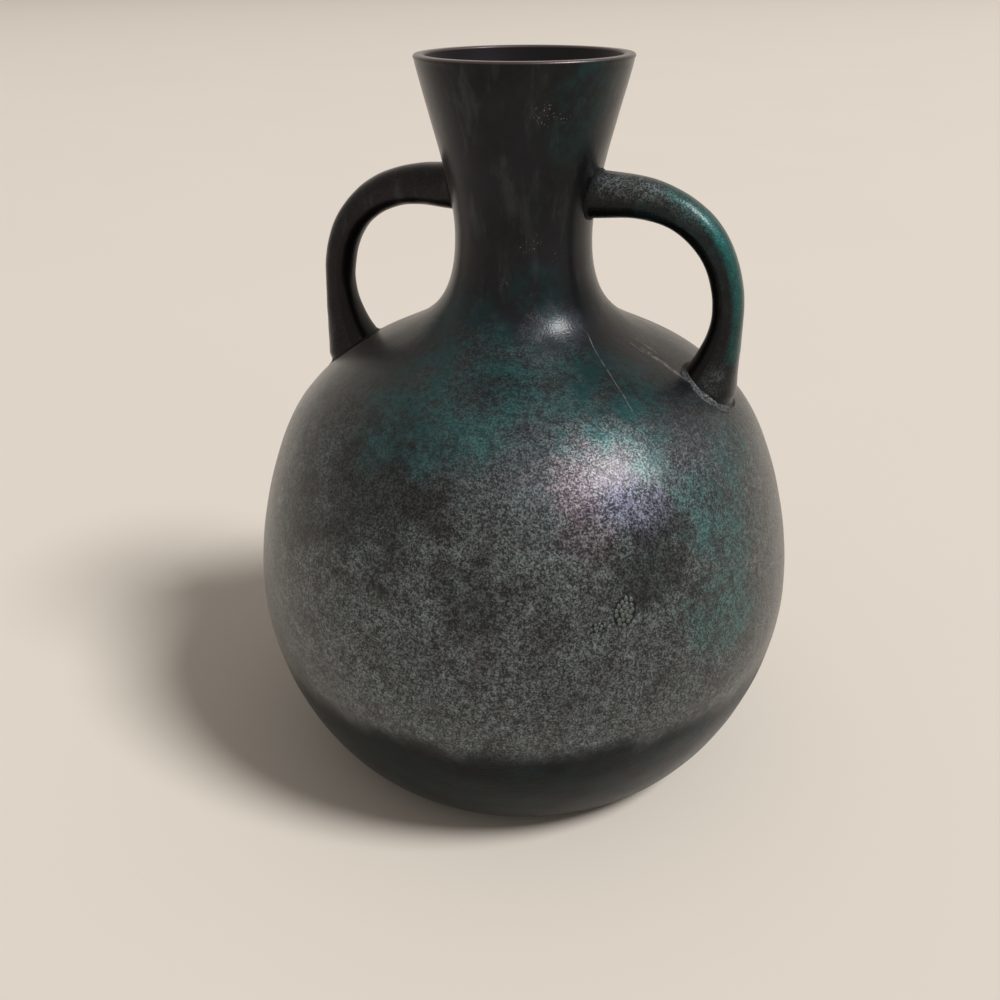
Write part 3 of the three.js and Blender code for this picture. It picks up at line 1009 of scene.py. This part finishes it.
@dataclass
class BrazedRoot:
    """The brazing metal round one end of a handle: a ring that fills the corner it makes."""

    handle: Handle
    root: Root
    on_body: float
    on_handle: float
    depth: float = 1.0
    columns: int = 14

    def corner(self) -> tuple[Array, Array, Array]:
        """The line where the handle's skin meets the body's outside.

        Along each of the skin's own lines, the place is where its distance from the axis, less the
        body's radius at its height, passes through zero.

        Returns:
            The places, the directions along the handle's skin away from the body, and the body's
            outward normals there.
        """
        handle = self.handle
        points = handle.skin()
        if self.root is Root.SHOULDER:
            points = points[::-1]
        half = len(points) // 2
        points = points[:half]
        outside = (np.hypot(points[..., 0], points[..., 1])
                   - handle.outline.radius_at(points[..., 2]))
        first = np.argmax(outside > 0, axis=0)
        column = np.arange(points.shape[1])
        before, after = points[first - 1, column], points[first, column]
        low, high = outside[first - 1, column], outside[first, column]
        share = (-low / (high - low))[:, None]
        place = before + (after - before) * share
        away = unit(points[np.minimum(first + 6, half - 1), column] - place)
        normal = handle.outline.normal_at(place[:, 2])
        level = unit(place[:, :2])
        normal3 = np.concatenate([level * normal[:, :1], normal[:, 1:]], axis=1)
        return place, away, normal3

    def build(self) -> bpy.types.Object:
        """Carry a hollow-faced section round the corner.

        The section runs from a point on the body to a point on the handle along a curve that dips
        towards the corner, and back under both skins.  Its two reaches vary round the ring by waves.

        Returns:
            The ring as a closed mesh.
        """
        place, away, normal = self.corner()
        ring = np.roll(place, -1, axis=0) - np.roll(place, 1, axis=0)
        outward = unit(np.cross(unit(ring), normal))
        centre = place.mean(axis=0)
        flip = np.sign(((place - centre) * outward).sum(axis=1, keepdims=True))
        outward = outward * flip
        seed = 40 + 3 * self.handle.side.value + (0 if self.root is Root.NECK else 9)
        wobble = 1 + 0.45 * waves(place, 8, seed) + 0.3 * waves(place, 3, seed + 1)
        on_body = self.on_body * wobble[:, None] * (0.7 - 0.5 * outward[:, 1:2])
        on_handle = self.on_handle * (1 + 0.35 * waves(place, 5, seed + 2))[:, None]
        start = place + outward * on_body
        end = place + away * on_handle
        t = np.linspace(0, 1, self.columns - 4)[:, None, None]
        dip = place + 0.25 * (start + end - 2 * place) / 2
        face = (1 - t) ** 2 * start + 2 * t * (1 - t) * dip + t ** 2 * end
        face = face + normal * 0.10 * waves(face, 2.2, seed + 3)[..., None] * np.sin(np.pi * t)
        inner = place - normal * self.depth
        under = np.stack([end - outward * self.depth, inner - outward * self.depth, inner,
                          start - normal * self.depth])
        section = np.concatenate([face, under]).transpose(1, 0, 2)
        piece = grid_mesh(f"{self.handle.side.label}_{self.root.value}_braze", section, wrap_rows=True)
        face_outwards(piece)
        return piece


@dataclass(frozen=True)
class Studio:
    """Pale floor and backdrop, a soft lamp above on the right, and the camera at the photo's angle."""

    floor_colour: str = "#ded5ca"
    floor_shade: str = "#cdc3b7"
    floor_patch_mm: float = 300
    backdrop_colour: str = "#cdc5bb"
    fill_colour: str = "#fff9f2"
    floor_size: float = 60
    lamp_way: tuple[float, float, float] = (0.62, -0.11, 0.78)
    lamp_distance: float = 30
    lamp_size: float = 8.5
    lamp_watts: float = 8400
    fill_strength: float = 0.32
    azimuth: float = 18.0
    eye_distance_mm: float = 319.1
    eye_height_mm: float = 248.0
    pitch: float = 27.14
    yaw: float = -1.39
    roll: float = -0.46
    focal_px: float = 1053.3
    frame_px: float = 1000
    sensor_mm: float = 36

    def camera(self) -> None:
        """Put the camera where the photograph was taken from, with its pitch, yaw and roll.

        The camera stands on -Y and looks along +Y, turned right by yaw and down by pitch.  Its right
        and up directions are turned by roll, and all of it is then turned about the axis by azimuth.
        """
        pitch, yaw, roll = np.radians([self.pitch, self.yaw, self.roll])
        ahead = np.array([np.sin(yaw) * np.cos(pitch), np.cos(yaw) * np.cos(pitch), -np.sin(pitch)])
        level = np.array([np.cos(yaw), -np.sin(yaw), 0])
        upright = np.cross(level, ahead)
        right = np.cos(roll) * level + np.sin(roll) * upright
        up = np.cos(roll) * upright - np.sin(roll) * level
        data = bpy.data.cameras.new("camera")
        data.sensor_width = self.sensor_mm
        data.lens = self.focal_px / self.frame_px * self.sensor_mm
        data.clip_start = 0.01
        camera = bpy.data.objects.new("camera", data)
        looking = Matrix((right, up, -ahead)).transposed().to_4x4()
        place = Matrix.Translation(Vector((0, -self.eye_distance_mm, self.eye_height_mm)) * MM)
        round_axis = Matrix.Rotation(np.radians(self.azimuth), 4, "Z")
        camera.matrix_world = round_axis @ place @ looking
        bpy.context.scene.collection.objects.link(camera)
        bpy.context.scene.camera = camera

    def floor(self) -> None:
        """A plain floor so wide that the camera sees nothing past it."""
        bpy.ops.mesh.primitive_plane_add(size=self.floor_size, location=(0, 0, 0))
        floor = bpy.context.object
        floor.name = "floor"
        graph = Graph("matt_paper")
        tone = graph.uneven(self.floor_patch_mm, detail=2)
        graph.feed(graph.surface, {
            "Base Color": graph.laid(self.floor_colour, self.floor_shade, 0.2 * tone),
            "Roughness": 0.9,
        })
        floor.data.materials.append(graph.material)

    def lamp(self) -> None:
        """One soft square lamp in the direction that its two reflections on the vase come from."""
        data = bpy.data.lights.new("soft_lamp", "AREA")
        data.shape = "DISK"
        data.size = self.lamp_size
        data.energy = self.lamp_watts
        lamp = bpy.data.objects.new("soft_lamp", data)
        way = Vector(self.lamp_way).normalized()
        lamp.location = way * self.lamp_distance + Vector((0, 0, 0.12))
        lamp.rotation_euler = way.to_track_quat("Z", "Y").to_euler()
        bpy.context.scene.collection.objects.link(lamp)

    def world(self) -> None:
        """Even dim light from all round, and a pale tone where sight or a reflection passes the floor."""
        world = bpy.data.worlds.new("studio")
        world.use_nodes = True
        tree = world.node_tree
        tree.nodes.clear()
        output = tree.nodes.new("ShaderNodeOutputWorld")
        light = tree.nodes.new("ShaderNodeBackground")
        light.inputs["Color"].default_value = linear(self.fill_colour)
        light.inputs["Strength"].default_value = self.fill_strength
        pale = tree.nodes.new("ShaderNodeBackground")
        pale.inputs["Color"].default_value = linear(self.backdrop_colour)
        pale.inputs["Strength"].default_value = 1.0
        path = tree.nodes.new("ShaderNodeLightPath")
        seen = path.outputs["Is Camera Ray"]
        for ray in ("Is Glossy Ray", "Is Transmission Ray"):
            either = tree.nodes.new("ShaderNodeMath")
            either.operation = "MAXIMUM"
            tree.links.new(seen, either.inputs[0])
            tree.links.new(path.outputs[ray], either.inputs[1])
            seen = either.outputs[0]
        mix = tree.nodes.new("ShaderNodeMixShader")
        tree.links.new(seen, mix.inputs[0])
        tree.links.new(light.outputs[0], mix.inputs[1])
        tree.links.new(pale.outputs[0], mix.inputs[2])
        tree.links.new(mix.outputs[0], output.inputs[0])
        bpy.context.scene.world = world

    def build(self) -> None:
        """Make the camera, the floor and the lights."""
        self.camera()
        self.floor()
        self.lamp()
        self.world()
        bpy.context.scene.view_settings.view_transform = "Standard"


# Where the patina's patches, flecks, scratches and blisters lie on the skin, in millimetres.
BODY_GREEN = (
    Stain((0, -42, 143), 24), Stain((34, -37, 139), 22, 0.8), Stain((-8, -60, 133), 20, 0.9),
    Stain((-14, -23, 154), 14, 0.8), Stain((11, -19, 163), 10, 0.7), Stain((72, -34, 106), 17, 0.9),
    Stain((75, -43, 84), 16, 0.8), Stain((70, -18, 121), 14, 0.6), Stain((24, -17, 217), 9, 0.9),
    Stain((20, -17, 205), 8, 0.6), Stain((-50, 52, 118), 26, 0.8), Stain((30, 66, 100), 24, 0.7),
    Stain((-75, 20, 85), 20, 0.6), Stain((10, 30, 150), 18, 0.8),
)
BODY_DARK = (
    Stain((-21, -71, 118), 20, 0.9), Stain((57, -59, 101), 12, 0.9), Stain((-48, -63, 107), 16, 0.8),
    Stain((12, -82, 97), 9, 0.6), Stain((40, 60, 120), 20, 0.7),
)
# Pale bloom in the grain; the patches at (44, -58, 122) and (44, -52, 128) lie on the lamp's highlight and
# widen it: painted highlight.
BODY_BLOOM_AND_HIGHLIGHT = (
    Stain((23, -83, 84), 24, 0.7), Stain((-20, -86, 66), 20, 0.8), Stain((56, -68, 68), 22, 0.75),
    Stain((21, -86, 60), 22, 0.75), Stain((3, -80, 106), 12, 0.6), Stain((44, -58, 122), 20, 0.85),
    Stain((72, -44, 90), 18, 0.6), Stain((44, -52, 128), 13, 0.8), Stain((10, -50, 138), 26, 0.3),
    Stain((-60, 62, 70), 34, 0.7), Stain((62, 62, 74), 34, 0.7), Stain((0, 88, 72), 28, 0.7),
)
# Painted highlight: pale blue and rose tints round the lamp's highlight on the belly.
BODY_HIGHLIGHT_BLUE = (Stain((46, -57, 119), 8, 0.7), Stain((53, -54, 116), 7, 0.6))
BODY_HIGHLIGHT_ROSE = (Stain((34, -60, 121), 9, 0.5), Stain((39, -56, 126), 9, 0.4), Stain((40, -64, 112), 8, 0.3))
BODY_FLECKS = (
    Stain((13.7, -24.4, 211.8), 3, 0.8), Stain((17.6, -21, 210.6), 2.2, 0.7),
    Stain((8.2, -19.1, 176.2), 3, 0.6), Stain((0, -21.7, 165), 2.4, 0.4),
    Stain((15.5, -13.9, 172.6), 2.4, 0.4),
)
BODY_SCRATCHES = (
    Scratch((-36, -80.5, 71), (-19.7, -84.6, 80.8), 0.3, 0.5),
    Scratch((25, -16, 150.4), (43.2, -34.8, 136.4), 0.25, 0.4),
    Scratch((40.0, -5.8, 144.0), (58, -9.6, 134.2), 1.2, 0.55),
    Scratch((36.4, -1.7, 146.1), (43.0, -3.1, 142.8), 0.4, 0.6),
    Scratch((35.6, -6.3, 146.2), (40.5, -7.4, 143.9), 0.35, 0.5),
)

FLAWS = (
    CastFlaw("ring_blister", (51, -67.5, 91.6), 3.0, 4.2, spacing=1.35, bubble_height=0.30),
    CastFlaw("small_blister", (44.9, -72.6, 88.4), 2.1, 1.3, spacing=0.95, bubble_height=0.26,
             lean_degrees=-10, rings=40, spokes=90),
    CastFlaw("pin_blister", (22.1, -80.3, 96.3), 0.7, 0.7, spacing=1.2, bubble_height=0.24,
             lean_degrees=0, rings=20, spokes=40),
    CastFlaw("low_blister", (37.6, -78.4, 76.5), 0.6, 0.6, spacing=1.1, bubble_height=0.22,
             lean_degrees=0, rings=20, spokes=40),
)

HANDLE_FINISH = {
    Side.RIGHT: BronzePatina(
        # The right handle's verdigris is laid lighter on its side facing the lamp: partly patina, partly
        # painted light.
        name="right_handle_bronze", even_bloom=0.04, even_green=0.10, smooth_from_mm=240,
        brown="#0c0b0d", metallic=0.7, wax=0.5, bloom_way=(0.0, -0.5, 0.866), lit_side_verdigris="#1d5f5c",
        bloom_from_mm=100, bloom_to_mm=260, green_stains=(Stain((60, -4, 180), 22, 0.4),),
        lamp_facing_way=(0.88, -0.12, 0.46),
        lit_side_verdigris_stains=(Stain((52, 0, 190), 9, 0.5), Stain((63, 0, 180), 12, 0.9),
                       Stain((68, 0, 164), 13, 0.9), Stain((68, 0, 150), 8, 0.6)),
        bloom_stains=(Stain((33, -5, 190), 10, 0.55), Stain((50, -4, 188), 9, 0.35),
                      Stain((63, -8, 137), 5, 0.3))),
    Side.LEFT: BronzePatina(
        name="left_handle_bronze", even_bloom=0.03, even_green=0.0, smooth_from_mm=120, brown="#141014",
        bloom_from_mm=100, bloom_to_mm=260),
}


def dress(piece: bpy.types.Object, material: bpy.types.Material, node: str) -> None:
    """Give a piece its material, and let it stand for its CAD node on the vase's one body.

    Args:
        piece: the visible mesh.
        material: its finish.
        node: the CAD node that it replaces.
    """
    piece.data.materials.append(material)
    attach(piece, "root")
    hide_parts(node)
    log.info("%s stands for %s, %d faces", piece.name, node, len(piece.data.polygons))


def main() -> None:
    """Build the studio, then the body, the handles with their brazed roots, and the bottom."""
    logging.basicConfig(level=logging.INFO, stream=sys.stdout)
    Studio().build()
    outline = Outline()
    body_patina = partial(BronzePatina, green_stains=BODY_GREEN, dark_stains=BODY_DARK,
                          bloom_stains=BODY_BLOOM_AND_HIGHLIGHT, highlight_blue_stains=BODY_HIGHLIGHT_BLUE, highlight_rose_stains=BODY_HIGHLIGHT_ROSE,
                          fleck_stains=BODY_FLECKS, scratches=BODY_SCRATCHES, lip_height_mm=outline.height)
    body_finish = body_patina().material()
    body = Body(outline)
    dress(body.build(), body_finish, "vase_body")

    blister_finish = body_patina(name="blistered_bronze", crest="crest").material()
    for flaw in FLAWS:
        blister = flaw.build(body)
        blister.data.materials.append(blister_finish)
        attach(blister, "root")
        log.info("%s lies on the skin", blister.name)

    brazing = BrazingMetal().material()
    for side in Side:
        finish = HANDLE_FINISH[side].material()
        handle = Handle(side, outline)
        dress(handle.build(), finish, f"{side.label}_handle")
        neck = BrazedRoot(handle, Root.NECK, 0.6, 0.5)
        dress(neck.build(), brazing, f"{side.label}_handle_neck_bead")
        foot = BrazedRoot(handle, Root.SHOULDER, 1.6, 0.6)
        dress(foot.build(), brazing, f"{side.label}_handle_shoulder_bead")

    for node, finish in (("base_disc", body_finish), ("base_solder", brazing)):
        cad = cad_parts[node]
        cad.data.materials.clear()
        cad.data.materials.append(finish)
        log.info("%s keeps its casting's shape", node)


if __name__ == "__main__":
    main()
